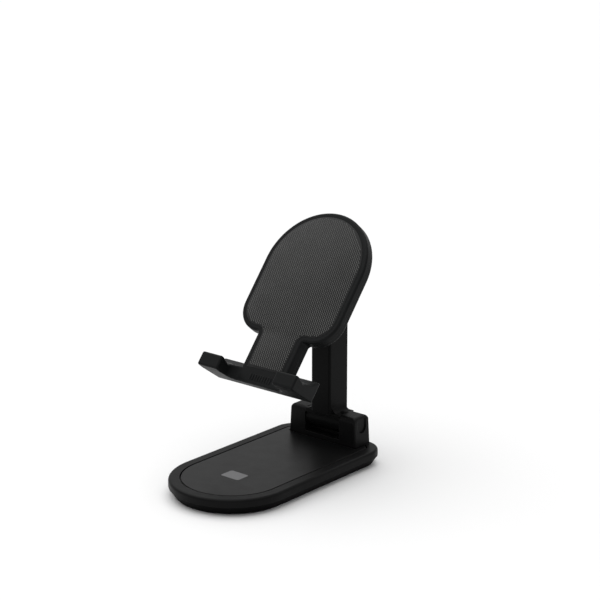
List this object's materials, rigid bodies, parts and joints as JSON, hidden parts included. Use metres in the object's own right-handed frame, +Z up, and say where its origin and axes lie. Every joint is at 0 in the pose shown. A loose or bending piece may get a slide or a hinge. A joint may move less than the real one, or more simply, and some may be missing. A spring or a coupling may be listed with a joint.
{
  "type": "phone stand",
  "caption": "Desktop phone stand: weighted D-shaped base, hinged telescopic column, and a tilting paddle cradle with two hooks.",
  "frame": {"origin": "on the table, under the middle of the base's footprint", "axes": "+Z up; +X to the stand's right seen from in front; -Y towards the user, where the base is round; the column stands at +Y"},
  "size_m": [0.065, 0.1186, 0.1282],
  "materials": {
    "shell_plastic": "matt black, fine spark-eroded grain",
    "panel_plastic": "satin dark grey",
    "badge_print": "light grey satin",
    "silicone": "matt black silicone",
    "column_plastic": "satin black",
    "cradle_plastic": "matt black, fine grain",
    "guide_plastic": "smooth acetal, black",
    "ballast_steel": "pressed steel plate, oiled",
    "pin_steel": "turned steel",
    "spring_steel": "blued spring steel",
    "screw_steel": "black zinc",
    "bar_metal": "drawn, satin anodised",
    "disc_plastic": "natural acetal"
  },
  "bodies": {
    "base": {"base_upper_shell": "shell_plastic", "base_lower_shell": "shell_plastic", "base_top_panel": "panel_plastic", "panel_badge": "badge_print", "ballast_plate": "ballast_steel", "foot_pad": "silicone", "base_screws": "screw_steel", "hinge_pin": "pin_steel", "hinge_washers": "spring_steel", "hinge_nut": "pin_steel", "hinge_friction_discs": "disc_plastic", "hinge_cap_left": "shell_plastic", "hinge_cap_right": "shell_plastic"},
    "column": {"column_sleeve": "column_plastic", "sleeve_bush": "guide_plastic", "stop_screw": "screw_steel"},
    "bar": {"inner_bar": "bar_metal", "bar_glide": "guide_plastic", "friction_leaf_spring": "spring_steel", "bar_head": "column_plastic", "bar_head_pin": "pin_steel", "tilt_friction_discs": "disc_plastic"},
    "cradle": {"tilt_bracket": "cradle_plastic", "bracket_screws": "screw_steel", "tilt_bolt": "pin_steel", "tilt_spring_washer": "spring_steel", "tilt_nut": "pin_steel", "tilt_cap_left": "cradle_plastic", "tilt_cap_right": "cradle_plastic", "cradle_frame": "cradle_plastic", "cradle_back_cover": "cradle_plastic", "cradle_pad": "silicone", "hook_pad_left": "silicone", "hook_pad_right": "silicone", "cradle_screws": "screw_steel"}
  },
  "joints": [
    {"name": "column_fold", "type": "hinge", "parent": "base", "child": "column", "pos_m": [0, 0.05, 0.019], "axis": [1, 0, 0], "range_deg": [0, 25]},
    {"name": "height_slide", "type": "slide", "parent": "column", "child": "bar", "axis": [0, 0, 1], "range_m": [0, 0.03]},
    {"name": "cradle_tilt", "type": "hinge", "parent": "bar", "child": "cradle", "pos_m": [0, 0.05, 0.095], "axis": [-1, 0, 0], "range_deg": [-35, 50]}
  ]
}
